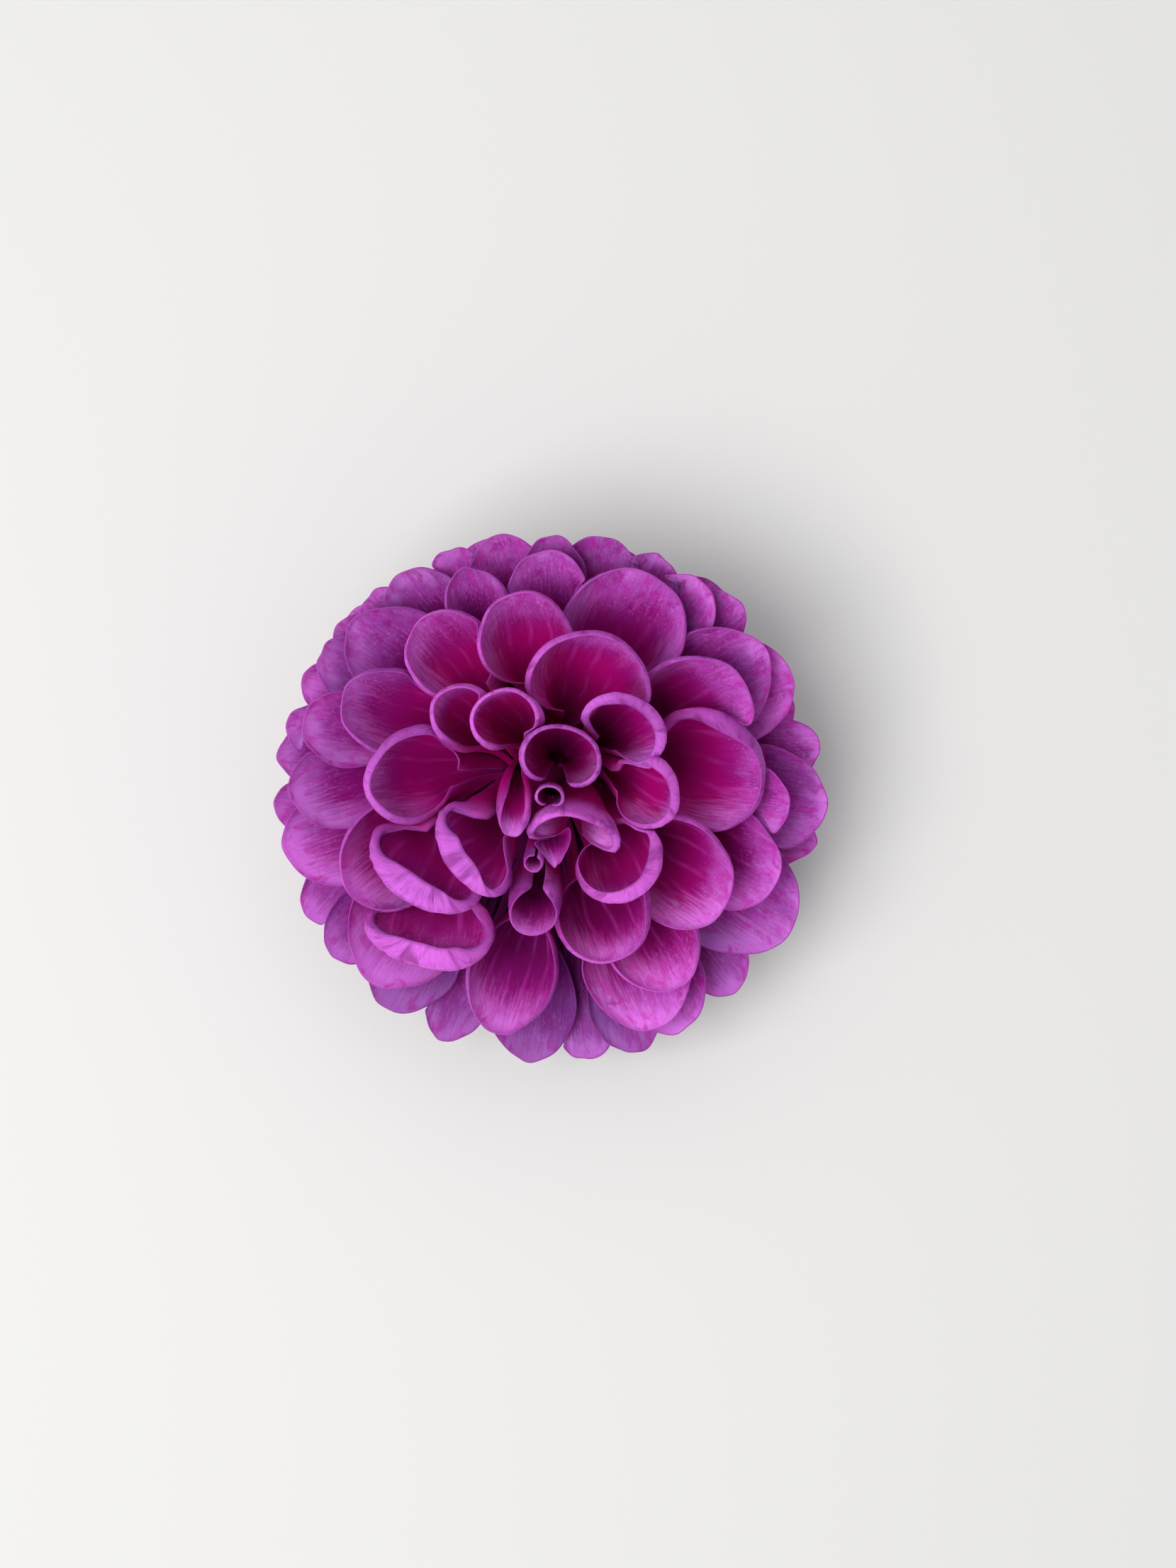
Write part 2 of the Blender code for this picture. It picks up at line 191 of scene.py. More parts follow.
HEART = [
    Petal(80, 23, 36, 200, 10, 0, 50, 50, 50, 1.0),
    Petal(86, 10, 12, 205, 3.5, 0, 40, 40, 40, 0.5, root=-4),
    Petal(30, 7, 30, 125, 9, 50, 120, 10, 110, 1.6, 0.7, -15),
    Petal(187, 7, 14, 192, 12, 80, 20, 30, 110, 2.2, 0.8, 45, root=-6),
    Petal(245, 8, 8, 200, 2.5, 0, 40, 40, 40, 0.4),
    Petal(286, 7, 9, 50, 12, lean=25, point=0.9),
]
INNER = [
    Petal(260, 21, 23, 203, 9.5, 0, 30, 20, 30, 1.0),
    Petal(200, 22.5, 28, 132, 10, 12, 110, 115, 25, 4.4, 0.5, 40, flat=0.5),
    Petal(109, 32, 30, 185, 12.5, -3, 40, 45, 75, 1.3),
    Petal(124, 38, 27, 165, 21, -8, 50, 50, 85, 2.2),
    Petal(53, 35, 29, 130, 12, 0, 50, 120, 120, 2.4, 0.6),
    Petal(18, 29, 28, 145, 15, -12, 10, 80, 130, 2.5, 0.6),
    Petal(330, 24, 33, 140, 14, -12, 10, 110, 145, 3.0, 0.5),
]
MIDDLE = [
    Petal(72, 46, 37, 105, 21, -4, 50, 60, 60, 2.4),
    Petal(97, 56.5, 27, 95, 23, 0, 60, 60, 60),
    Petal(120, 59, 26, 90, 22, 0, 50, 50, 70, 2.6),
    Petal(146, 60, 26, 85, 23, 0, 45, 55, 75, 3.0),
    Petal(161, 43, 31, 95, 20, 0, 40, 80, 85, 4.0),
    Petal(198, 51, 29, 70, 24, 8, 45, 60, 65, 3.4),
    Petal(209, 36, 33, 120, 14, 28, 90, 140, 60, 5.0, 0.5, 35, flat=0.45),
    Petal(231, 47, 34, 115, 15, 28, 100, 140, 90, 5.0, 0.5, 50, flat=0.45),
    Petal(255.5, 55.5, 25, 80, 24, -5, 50, 55, 60, 3.0),
    Petal(300, 33, 29, 95, 20, 0, 55, 60, 50, 3.0),
    Petal(339, 44, 31, 90, 22, 5, 30, 45, 40, 2.4),
    Petal(309, 51, 27, 80, 22, 0, 50, 60, 50, 3.0),
    Petal(15, 55, 37, 90, 24, -4, 30, 60, 130, 4.5, 0.6),
    Petal(37, 59, 29, 80, 24, 0, 50, 50, 50),
    Petal(223, 63, 28, 55, 24, 10, 35, 35, 35),
    Petal(298, 61, 26, 60, 24, 0, 35, 35, 35),
    Petal(346, 57, 24, 50, 24, 0, 30, 30, 30),
    Petal(5, 58, 22, 60, 24, 0, 30, 30, 30),
]
OUTER = [
    Petal(68, 71, 31, 70, 26, 0, 55, 50, 55),
    Petal(107, 69, 16, 80, 20, -8, 40, 40, 40),
    Petal(134, 78, 25, 65, 24, 0, 45, 45, 50),
    Petal(90, 72, 21, 70, 22, 0, 40, 40, 40),
    Petal(39, 75, 28, 65, 24, 0, 40, 40, 40),
    Petal(157, 70, 19, 55, 24, 0, 40, 40, 40),
    Petal(175, 68, 23, 60, 24, 12, 40, 40, 40),
    Petal(188, 76, 24, 50, 24, 0, 30, 30, 30),
    Petal(232, 89, 20, 45, 24, 6),
    Petal(333, 82, 29, 45, 26),
    Petal(301, 72, 20, 50, 24),
    Petal(1, 84, 24, 45, 24),
    Petal(265, 89, 19, 50, 24),
]
RIM = [
    Petal(100, 85, 19, 55, 24),
    Petal(121.5, 84, 20, 55, 24),
    Petal(111, 85, 14, 55, 24),
    Petal(89, 80, 14, 55, 24),
    Petal(78.5, 85, 20, 55, 24),
    Petal(67, 83, 14, 55, 24),
    Petal(58, 80, 19, 55, 24),
    Petal(49, 89, 17, 50, 24),
    Petal(32, 83, 24, 50, 24),
    Petal(12, 96, 15, 50, 24),
    Petal(350, 99, 15, 50, 24),
    Petal(314, 92, 17, 50, 24),
    Petal(289, 85, 16, 50, 24),
    Petal(278, 90, 14, 50, 24),
    Petal(245.5, 89, 14, 50, 24),
    Petal(216, 90, 15, 50, 24, 10),
    Petal(207, 92, 15, 50, 24, 20),
    Petal(180, 84, 14, 50, 24),
    Petal(168, 85, 14, 50, 24),
    Petal(161, 80, 14, 50, 24),
    Petal(152, 91, 12, 50, 24),
    Petal(144, 82, 15, 50, 24),
    Petal(138, 87, 14, 50, 24),
    Petal(129, 86, 14, 50, 24),
]


# ---- the form of a petal ----

def smooth(x):
    """Rises from 0 to 1 as x does, level at both ends."""
    x = np.clip(x, 0.0, 1.0)
    return x * x * (3 - 2 * x)


def rise(x, start, over):
    """Rises from 0 to 1 as x goes from a start over a stretch."""
    return smooth((x - start) / over)


def ripple(settings, across, along, phase):
    """Heights of a wave; its settings are its height and how fast it runs across and along."""
    height, ripples_across, ripples_along = settings
    return height * np.sin(across * ripples_across + along * ripples_along + phase)


def dome_tip(colatitude):
    """Distance from the axis and height of a petal tip."""
    angle = math.radians(colatitude)
    rise = DOME_RISE if colatitude < 90 else DOME_DROP
    dimple = EYE_DIMPLE * math.exp(-((colatitude / EYE_SPREAD) ** 2))
    return DOME_RADIUS * math.sin(angle), rise * math.cos(angle) - dimple


def lie(points):
    """Turns points of the upright bloom, in mm, to how the head lies on the ground, in metres."""
    lean = math.radians(LEAN)
    towards = math.radians(LEAN_AZIMUTH)
    axle = np.array([-math.sin(towards), math.cos(towards), 0.0])
    turned = (points * math.cos(lean) + np.cross(axle, points) * math.sin(lean)
              + np.outer(points @ axle, axle) * (1 - math.cos(lean)))
    return (turned + np.array(CENTRE)) * MM


class Midrib:
    """The line down the middle of a petal, from its root on the receptacle to its tip."""

    def __init__(self, petal):
        share = min(petal.colatitude / ROOT_WIDEST, 1.0)
        root_radius = ROOT_EYE + (ROOT_RADIUS - ROOT_EYE) * share if petal.root is None else petal.root
        self.root = np.array([root_radius, ROOT_TOP - ROOT_DROP * share * share])
        radius, height = dome_tip(petal.colatitude)
        swing = math.radians(petal.swing)
        self.tip = np.array([radius * math.cos(swing), height])
        self.offset = -radius * math.sin(swing)
        reach = self.tip - self.root
        self.length = float(np.hypot(*reach))
        chord = math.degrees(math.atan2(reach[0], reach[1]))
        curve = np.interp(petal.colatitude, *INCURVE)
        start = math.radians(chord + curve)
        end = math.radians(chord - curve if petal.lean is None else petal.lean)
        self.start_pull = MIDRIB_PULL * self.length * np.array([math.sin(start), math.cos(start)])
        self.end_pull = MIDRIB_PULL * self.length * np.array([math.sin(end), math.cos(end)])
        heading = math.radians(petal.azimuth + petal.swing)
        self.along = np.array([math.cos(heading), math.sin(heading), 0.0])
        self.across = np.array([-math.sin(heading), math.cos(heading), 0.0])

    def frames(self, t):
        """Places, tangents and inward normals at shares t of the length."""
        t = t[:, None]
        flat = ((2 * t**3 - 3 * t**2 + 1) * self.root + (t**3 - 2 * t**2 + t) * self.start_pull
                + (3 * t**2 - 2 * t**3) * self.tip + (t**3 - t**2) * self.end_pull)
        slope = ((6 * t**2 - 6 * t) * self.root + (3 * t**2 - 4 * t + 1) * self.start_pull
                 + (6 * t - 6 * t**2) * self.tip + (3 * t**2 - 2 * t) * self.end_pull)
        slope /= np.linalg.norm(slope, axis=1)[:, None]
        up = np.array([0.0, 0.0, 1.0])
        places = flat[:, :1] * self.along + flat[:, 1:] * up + self.offset * self.across
        tangents = slope[:, :1] * self.along + slope[:, 1:] * up
        inward = -slope[:, 1:] * self.along + slope[:, :1] * up
        return places, tangents, inward


def by_corners(face):
    """A number that puts faces in the same order in each run."""
    first, second, third = sorted(vert.index for vert in face.verts)[:3]
    return (first * MOST_CORNERS + second) * MOST_CORNERS + third


def blade_template():
    """A closed slab of quads: x across, y along, z 0 on the inner face and -1 on the outer."""
    bm = bmesh.new()
    bmesh.ops.create_grid(bm, x_segments=COLUMNS, y_segments=BODY_ROWS + TIP_ROWS, size=1.0)
    skin = bmesh.ops.extrude_face_region(bm, geom=bm.faces[:], use_keep_orig=True)
    outer = [item for item in skin["geom"] if isinstance(item, bmesh.types.BMVert)]
    bmesh.ops.translate(bm, verts=outer, vec=(0.0, 0.0, -1.0))
    bmesh.ops.recalc_face_normals(bm, faces=bm.faces)
    bm.verts.index_update()
    bm.faces.sort(key=by_corners)
    mesh = bpy.data.meshes.new("blade_template")
    bm.to_mesh(mesh)
    bm.free()
    places = np.zeros(len(mesh.vertices) * 3)
    mesh.vertices.foreach_get("co", places)
    return mesh, places.reshape(-1, 3)


def blade_shares(template, bend):
    """Share of the half width, share of the length and share of the rounded tip, for each vertex."""
    row = (template[:, 1] + 1) / 2 * (BODY_ROWS + TIP_ROWS)
    across = -(COLUMN_EASE[0] * np.sin(template[:, 0] * math.pi / 2) + COLUMN_EASE[1] * template[:, 0])
    body = np.clip(row / BODY_ROWS, 0.0, 1.0)
    cap = np.clip((row - BODY_ROWS) / TIP_ROWS, 0.0, 1.0)
    cap = ROW_EASE[0] * np.sin(cap * math.pi / 2) + ROW_EASE[1] * cap
    a = across * np.sqrt(1 - cap**2 / 2)
    tau = cap * np.sqrt(1 - across**2 / 2)
    t = np.where(cap > 0, bend + tau * (1 - bend), BLADE_START + (bend - BLADE_START) * body)
    return a, t, tau


class Blade:
    """One petal's closed blade, shaped step by step; a, t and tau are the shares of blade_shares."""

    def __init__(self, petal, template):
        self.petal = petal
        self.half = petal.width / 2.0
        self.rib = Midrib(petal)
        tip_length = (TIP_LENGTH + petal.point) * min(self.half, TIP_OF_MOUTH * petal.mouth)
        self.bend = 1.0 - tip_length / self.rib.length
        self.a, self.t, self.tau = blade_shares(template, self.bend)
        self.size = np.abs(self.a)
        self.edge = np.sqrt(self.a**2 + self.tau**2)
        self.throat = 1.0 - petal.mouth / self.rib.length
        self.outer = template[:, 2] < -0.5
        self.places, self.tangents, self.inward = self.rib.frames(self.t)

    def cup(self):
        """Curls the blade round its midrib, closed below the mouth and open above it."""
        petal, t, size = self.petal, self.t, self.size
        side = np.sign(self.a)
        across = self.rib.across[None, :]
        pinch = 1 - petal.point * self.tau**2 * (1 - PINCH_EASE * self.tau)
        opened = np.clip((t - self.throat) / (MOUTH_OPENING * (1 - self.throat)), 0.0, 1.0)
        curl = np.radians(CLOSED - (CLOSED - petal.cup) * np.sqrt(1 - (1 - opened) ** 2))
        widened = rise(t, CLAW_END, self.bend - CLAW_WIDENS)
        self.claw = self.half * (CLAW_SHARE + (1 - CLAW_SHARE) * widened)
        reach = size[:, None] * CURL_SHARES
        turn = curl[:, None] * SPIRAL * (reach + reach**2)
        wide, low = 1 + FLAT_WIDER * petal.flat, 1 - FLAT_LOWER * petal.flat
        x = wide * np.cos(turn).mean(axis=1) * size * self.claw * pinch
        y = low * np.sin(turn).mean(axis=1) * size * self.claw * pinch
        angle = curl * SPIRAL * (size + size**2)
        self.surface = self.places + (side * x)[:, None] * across + y[:, None] * self.inward
        slope_x, slope_y = wide * np.cos(angle), low * np.sin(angle)
        steep = np.hypot(slope_x, slope_y)
        slope_x, slope_y = slope_x / steep, slope_y / steep
        outwards = (side * slope_x)[:, None] * across + slope_y[:, None] * self.inward
        self.facing = (-side * slope_y)[:, None] * across + slope_x[:, None] * self.inward
        away = size[:, None] * outwards + self.tau[:, None] * self.tangents
        self.away = away / np.maximum(np.linalg.norm(away, axis=1), 1e-9)[:, None]

    def roll_margin(self, phase):
        """Makes the margin ragged and rolls a band of it inwards."""
        petal, a, t, tau = self.petal, self.a, self.t, self.tau
        band = min(petal.band / self.half, BAND_LIMIT)
        self.rolled = np.clip((self.edge - 1 + band) / band, 0.0, 1.0)
        round_side = smooth(np.arctan2(self.size, tau + 1e-6) / (math.pi / 2))
        roll_side = np.where(a > 0, petal.roll_ccw, petal.roll_cw)
        roll = np.radians(petal.roll_tip + (roll_side - petal.roll_tip) * round_side)
        roll = roll * smooth((t - self.throat + ROLL_LEAD) / ROLL_FADE) + 1e-4
        bent = roll[:, None] * smooth(self.rolled[:, None] * CURL_SHARES / petal.fold)
        pull = petal.band * self.rolled * (np.cos(bent).mean(axis=1) - 1)
        lift = petal.band * self.rolled * np.sin(bent).mean(axis=1)
        turned = roll * smooth(self.rolled / petal.fold)
        ragged = ripple(RAGGED[0], a, tau, phase[3]) + ripple(RAGGED[1], a, tau, phase[0])
        ragged = ragged * rise(self.edge, *RAGGED_FROM) * rise(t, *UPPER_PART)
        self.surface = self.surface + ragged[:, None] * self.away
        self.surface = self.surface + pull[:, None] * self.away + lift[:, None] * self.facing
        self.normal = self.facing * np.cos(turned)[:, None] - self.away * np.sin(turned)[:, None]

    def groove(self, phase, rng):
        """Grooves along the veins, and slow waves towards the margin."""
        a, t, edge = self.a, self.t, self.edge
        wander = GROOVE_WANDER[0] * np.sin(a * GROOVE_WANDER[1] + phase[0])
        grooves = np.cos(a * rng.uniform(*GROOVE_DENSITY) + wander) * GROOVE_DEPTH
        grooves *= (1 - rise(edge, *GROOVES_OUT)) * rise(t, *GROOVES_IN)
        waves = ripple(WAVES[0], a, t, phase[1]) * rise(edge, *WAVES_FROM[0])
        waves += ripple(WAVES[1], a, t, phase[2]) * rise(edge, *WAVES_FROM[1])
        height = grooves + waves * rise(t, self.throat, WAVES_PAST_THROAT)
        self.surface = self.surface + height[:, None] * self.normal

    def thicken(self):
        """Moves the outer face out by the thickness of the blade."""
        thick = (THICK_RIM + (THICK_BASE - THICK_RIM) * (1 - smooth(self.t / THICK_UP_TO))
                 + THICK_MIDDLE * (1 - self.rolled))
        self.surface = self.surface - (thick * self.outer)[:, None] * self.normal

    def finish(self, rng):
        """What the petal's finish reads at each vertex."""
        petal, a, t = self.petal, self.a, self.t
        everywhere = np.ones_like(a)
        low_side = max(0.0, -math.sin(math.radians(petal.azimuth)))
        # Painted shade: outer petals are darkened, and those on the low side of the head more so.
        painted_shade = float(rise(petal.colatitude, PAINTED_SHADE_FROM, PAINTED_SHADE_OVER))
        throat_length = float(np.interp(petal.colatitude, *THROAT_LENGTH))
        below_tip = (1 - t) * self.rib.length * (1 - THROAT_NARROWS * self.size**3)
        across, along = a * self.claw / PATTERN_UNIT, t * self.rib.length / PATTERN_UNIT
        return {
            "leaf": np.stack([across, along, everywhere * rng.uniform(0, PATTERN_SPREAD)], axis=1),
            "rim": self.rolled,
            "deep": np.clip(below_tip / throat_length, 0.0, 1.0),
            "vein": a,
            # Painted shade: how far the petal stands on the low side, which darkens its throat.
            "low": everywhere * low_side,
            "outer": self.outer.astype(float),
            # A random tone of each petal, less the painted shade of outer and low-side petals.
            "tone_and_painted_shade": everywhere * (rng.uniform(0.0, 1.0) - painted_shade * (1.0 + LOW_SIDE_PAINTED_SHADE * low_side)),
            "lip": np.clip(1 - (1 - self.edge) / LIP_WIDTH, 0.0, 1.0) * rise(t, *UPPER_PART),
            # Painted light: margins that point to the lower left are paler, with some random change from
            # petal to petal.
            "pale": np.clip(0.5 + 0.5 * self.away @ PAINTED_LIGHT_SIDE + rng.uniform(*PALE_VARIES), 0.0, 1.0),
        }


# ---- petals that stand one behind another ----

def soften(field):
    """Evens a grid of moves with those beside them."""
    for axis in (0, 1):
        for _ in range(2):
            padded = np.concatenate([field.take([0], axis), field, field.take([-1], axis)], axis)
            count = field.shape[axis]
            before, after = padded.take(range(count), axis), padded.take(range(2, count + 2), axis)
            field = (before + 2 * field + after) / 4
    return field


def on_both_faces(moves, order):
    """A grid of moves, given to the inner and the outer face of a blade alike."""
    spread = np.zeros((order.size, 3))
    for side in (0, 1):
        spread[order[side].ravel()] = moves.reshape(-1, 3)
    return spread


def moves_behind(blade, grid, inner):
    """Moves of each row of a blade to behind the petals over it."""
    moves = np.zeros(grid.shape + (3,))
    middle = grid[:, COLUMNS // 2]
    for row, index in enumerate(middle[BODY_ROWS // 2:], BODY_ROWS // 2):
        start, away = Vector(blade.surface[index]), Vector(-blade.inward[index])
        ahead = [tree.ray_cast(start, away, AHEAD_REACH)[3] for tree in inner]
        ahead = [distance for distance in ahead if distance is not None]
        if ahead:
            moves[row] = -blade.inward[index] * (max(ahead) + BEHIND_GAP)
    return soften(moves)


def moves_of_margins(blade, grid, near):
    """Moves that press a blade's margins to the backs of the petals before them."""
    moves = np.zeros(grid.shape + (3,))
    for row, column in np.ndindex(grid.shape):
        index = grid[row, column]
        start = Vector(blade.places[index] - MARGIN_START * blade.inward[index])
        path = Vector(blade.surface[index]) - start
        reach = path.length
        if reach < MARGIN_SHORTEST:
            continue
        path.normalize()
        nearest = reach + MARGIN_PAST
        for tree in near:
            hit = tree.ray_cast(start, path, nearest)
            if hit[0] is not None:
                nearest = hit[3]
        if nearest < reach + MARGIN_PAST:
            moves[row, column] = path * (max(nearest - MARGIN_GAP, 0.0) - reach)
    softened = soften(moves)
    enough = np.linalg.norm(softened, axis=2) > np.linalg.norm(moves, axis=2)
    return np.where(enough[:, :, None], softened, moves)


def tuck(blade, order, earlier):
    """Keeps a petal behind the petals that stand before it, its margins pressed to their backs."""
    petal = blade.petal
    grid = order[1]
    tip = blade.surface[grid[-1, COLUMNS // 2]]
    near = [tree for other, place, tree in earlier if np.linalg.norm(place - tip) < MEET_WITHIN]
    inner = [tree for other, place, tree in earlier if other.colatitude < petal.colatitude - RANK_STEP
             and abs((other.azimuth - petal.azimuth + 180) % 360 - 180) < BESIDE]
    pushed = on_both_faces(moves_behind(blade, grid, inner), order)
    blade.surface = blade.surface + pushed
    blade.places = blade.places + pushed
    blade.surface = blade.surface + on_both_faces(moves_of_margins(blade, grid, near), order)


def new_piece(name, bm, points, lowest):
    """A smooth piece from a bmesh whose vertices take new places, none of them under the lowest."""
    mesh = bpy.data.meshes.new(name)
    bm.to_mesh(mesh)
    bm.free()
    points[:, 2] = np.maximum(points[:, 2], lowest)
    mesh.vertices.foreach_set("co", points.ravel())
    mesh.update()
    mesh.shade_smooth()
    piece = bpy.data.objects.new(name, mesh)
    bpy.context.scene.collection.objects.link(piece)
    return piece


def whorl(name, petals, seed, earlier):
    """One piece that holds the petals of a whorl; they join the earlier ones."""
    template, shares = blade_template()
    order = np.lexsort((shares[:, 0], shares[:, 1], shares[:, 2]))
    order = order.reshape(2, BODY_ROWS + TIP_ROWS + 1, COLUMNS + 1)
    faces = [tuple(face.vertices) for face in template.polygons]
    rng = np.random.default_rng(seed)
    bm = bmesh.new()
    surfaces = []
    finishes = []
    for petal in petals:
        bm.from_mesh(template)
        blade = Blade(petal, shares)
        phase = rng.uniform(0, 2 * math.pi, 4)
        blade.cup()
        blade.roll_margin(phase)
        blade.groove(phase, rng)
        tuck(blade, order, earlier)
        blade.thicken()
        surfaces.append(blade.surface)
        finishes.append(blade.finish(rng))
        tip = blade.surface[order[1, -1, COLUMNS // 2]]
        earlier.append((petal, tip, BVHTree.FromPolygons(blade.surface.tolist(), faces)))
    bpy.data.meshes.remove(template)
    piece = new_piece(name, bm, lie(np.concatenate(surfaces)), GROUND_GAP)
    for key in finishes[0]:
        values = np.concatenate([finish[key] for finish in finishes]).astype(np.float32)
        if values.ndim == 1:
            piece.data.attributes.new(key, "FLOAT", "POINT").data.foreach_set("value", values)
        else:
            piece.data.attributes.new(key, "FLOAT_VECTOR", "POINT").data.foreach_set("vector", values.ravel())
    return piece


def back_petals():
    """The petals under the head, turned by the golden angle from one to the next."""
    petals = []
    for index in range(BACK_COUNT):
        share = index / (BACK_COUNT - 1)
        petals.append(Petal(index * GOLDEN_ANGLE, BACK_FIRST + BACK_SPAN * share,
                            BACK_WIDTH * (1 - BACK_NARROWING * share), BACK_CUP))
    return petals


# ---- nodes of a finish ----

def nodes_of(name):
    """A new material with its node tree and its shader."""
    material = bpy.data.materials.new(name)
    material.use_nodes = True
    tree = material.node_tree
    return material, tree, tree.nodes["Principled BSDF"]


def link(tree, source, target):
    tree.links.new(source, target)


def read(tree, name, output="Fac"):
    """An attribute of the petals."""
    node = tree.nodes.new("ShaderNodeAttribute")
    node.attribute_name = name
    return node.outputs[output]


def maths(tree, operation, *items):
    """A sum of sockets and numbers, of any of the Math node's kinds."""
    node = tree.nodes.new("ShaderNodeMath")
    node.operation = operation
    for socket, item in zip(node.inputs, items):
        if isinstance(item, (int, float)):
            socket.default_value = item
        else:
            link(tree, item, socket)
    return node.outputs[0]


def times(tree, first, second):
    return maths(tree, "MULTIPLY", first, second)


def plus(tree, first, second):
    return maths(tree, "ADD", first, second)


def less(tree, first, second):
    return maths(tree, "SUBTRACT", first, second)


def ramp(tree, value, low, high):
    """0 below low, 1 above high, and smooth between."""
    node = tree.nodes.new("ShaderNodeMapRange")
    node.interpolation_type = "SMOOTHSTEP"
    link(tree, value, node.inputs["Value"])
    node.inputs["From Min"].default_value = low
    node.inputs["From Max"].default_value = high
    return node.outputs["Result"]


def shown(tree, value, start, full, most):
    """How much of a pattern shows: none below the start, and the most from full on."""
    return times(tree, ramp(tree, value, start, full), most)


def varied(tree, settings, value):
    """A least number, and what is added to it as the value goes from 0 to 1."""
    least, added = settings
    return plus(tree, least, times(tree, value, added))


def unevenly(tree, value, noise, amount):
    """A value that a noise makes higher here and lower there."""
    return plus(tree, value, times(tree, less(tree, noise, 0.5), amount))


def blend(tree, share, first, second):
    """From the first colour to the second by a share."""
    node = tree.nodes.new("ShaderNodeMix")
    node.data_type = "RGBA"
    node.clamp_factor = True
    link(tree, share, node.inputs["Factor"])
    for socket, item in ((node.inputs["A"], first), (node.inputs["B"], second)):
        if isinstance(item, tuple):
            socket.default_value = (*item, 1.0)
        else:
            link(tree, item, socket)
    return node.outputs["Result"]


def fibres(tree, coordinates, stretch, scale, detail=3.0, distortion=0.0):
    """Noise that is stretched to fibres, streaks or clouds."""
    mapping = tree.nodes.new("ShaderNodeMapping")
    mapping.inputs["Scale"].default_value = stretch
    link(tree, coordinates, mapping.inputs["Vector"])
    noise = tree.nodes.new("ShaderNodeTexNoise")
    noise.inputs["Scale"].default_value = scale
    noise.inputs["Detail"].default_value = detail
    noise.inputs["Distortion"].default_value = distortion
    link(tree, mapping.outputs["Vector"], noise.inputs["Vector"])
    return noise.outputs["Fac"]


def bent_by_noise(tree, coordinates, scale, amount):
    """Coordinates that wander by an amount."""
    noise = tree.nodes.new("ShaderNodeTexNoise")
    noise.inputs["Scale"].default_value = scale
    link(tree, coordinates, noise.inputs["Vector"])
    shift = tree.nodes.new("ShaderNodeVectorMath")
    shift.operation = "MULTIPLY_ADD"
    link(tree, noise.outputs["Color"], shift.inputs[0])
    shift.inputs[1].default_value = (amount, amount, 0.0)
    link(tree, coordinates, shift.inputs[2])
    return shift.outputs["Vector"]


# ---- finishes ----

# Colours of a petal's inner face, from its throat to its tip.
DEEP_MAGENTA = (0.40, 0.0015, 0.16)
# Painted shade: the darker throat colour of petals on the low side of the head.
PAINTED_SHADE_PLUM = (0.15, 0.0015, 0.085)
MAGENTA = (0.31, 0.006, 0.21)
LILAC = (0.48, 0.085, 0.49)
PALE_LILAC = (0.78, 0.25, 0.84)

# Colours of its veins, blotches, creases and rim.
VEIN = (0.56, 0.045, 0.45)
BLOTCH = (0.52, 0.012, 0.36)
CREASE = (0.16, 0.004, 0.13)
RIM_MAUVE = (0.30, 0.05, 0.31)

# Colours of its back; the mauve is painted shade and the lilac painted light, by the way the margin points.
OUTER_PURPLE = (0.17, 0.006, 0.16)
PAINTED_SHADE_BACK_MAUVE = (0.22, 0.022, 0.21)
PAINTED_LIGHT_BACK_LILAC = (0.68, 0.15, 0.70)

# Noises on a petal: their stretch across and along it, their scale, detail and distortion.
LONG_FIBRES = ((12.0, 0.8, 1.0), 2.0, 4.0, 0.15)
SHORT_FIBRES = ((7.0, 2.5, 1.0), 4.0, 4.0, 0.6)
CLOUDS = ((1.0, 0.8, 1.0), 1.6, 4.0, 0.0)
SMUDGES = ((1.6, 1.0, 1.0), 3.0, 3.0, 0.5)
BLOTS = ((1.6, 0.9, 1.0), 2.2, 6.0, 1.2)

# Where the inner face turns lilac, magenta and deep, by its depth in the throat, how cloudy that is, and
# over what depth its patterns fade.
LILAC_FROM = (-0.08, 0.16)
MAGENTA_FROM = (0.06, 0.50)
DEEP_FROM = (0.30, 0.85)
CLOUDY = 0.6
PATTERNS_FADE = (0.1, 0.7)

# Patterns of the inner face: from what value each starts and is full, and how much of it shows at most.
FIBRES_SHOWN = (0.45, 0.75, 0.30)
MOTTLES_SHOWN = (0.50, 0.68, 0.6)
FLECKS_SHOWN = (0.52, 0.70, 0.45)
BLOTCHES_SHOWN = (0.50, 0.66, 0.7)

# The pale lip: how near the edge it comes in, how streaky that is, and where it shows by the painted light on
# margins that point to the lower left.
LIP_FROM = (0.15, 0.95)
LIP_STREAKY = 0.7
LIP_SHOWN = (0.30, 0.95, 0.9)

# Patterns of the back, and where its foot turns deep.
STREAKS_SHOWN = (0.42, 0.75, 0.30)
SMUDGES_SHOWN = (0.46, 0.70, 0.6)
FOOT_FROM = (0.25, 0.9)

# The mauve rim and the patches with creases; how wide a crease is, and the scale and detail of the
# cells that it runs between and how they are bent.
RIM_SHOWN = (0.86, 1.0, 0.8)
CREASES_SHOWN = (0.60, 0.68, 0.4)
CREASE_WIDTH = (0.004, 0.022)
CREASE_CELLS = (2.2, 2.0)
CREASE_BEND = (3.0, 0.35)

# Veins from the midrib to the margin, their width as a share of their distance, how far they wander
# and by what noise, and where they show.
VEIN_COUNT = 3.6
VEIN_WIDTH = (0.0, 0.16)
VEIN_WANDER = 1.1
VEIN_NOISE = ((1.0, 0.8, 1.0), 0.8, 1.0)
VEINS_SHOWN = (0.35, 0.6, 0.40)

# Each petal's hue and brightness, which follow its random tone and the painted shade of outer and low-side
# petals, and the roughness of its skin: the least, and what is added.
HUE = (0.49, 0.015)
BRIGHTNESS = (0.93, 0.17)
ROUGHNESS = (0.38, 0.25)

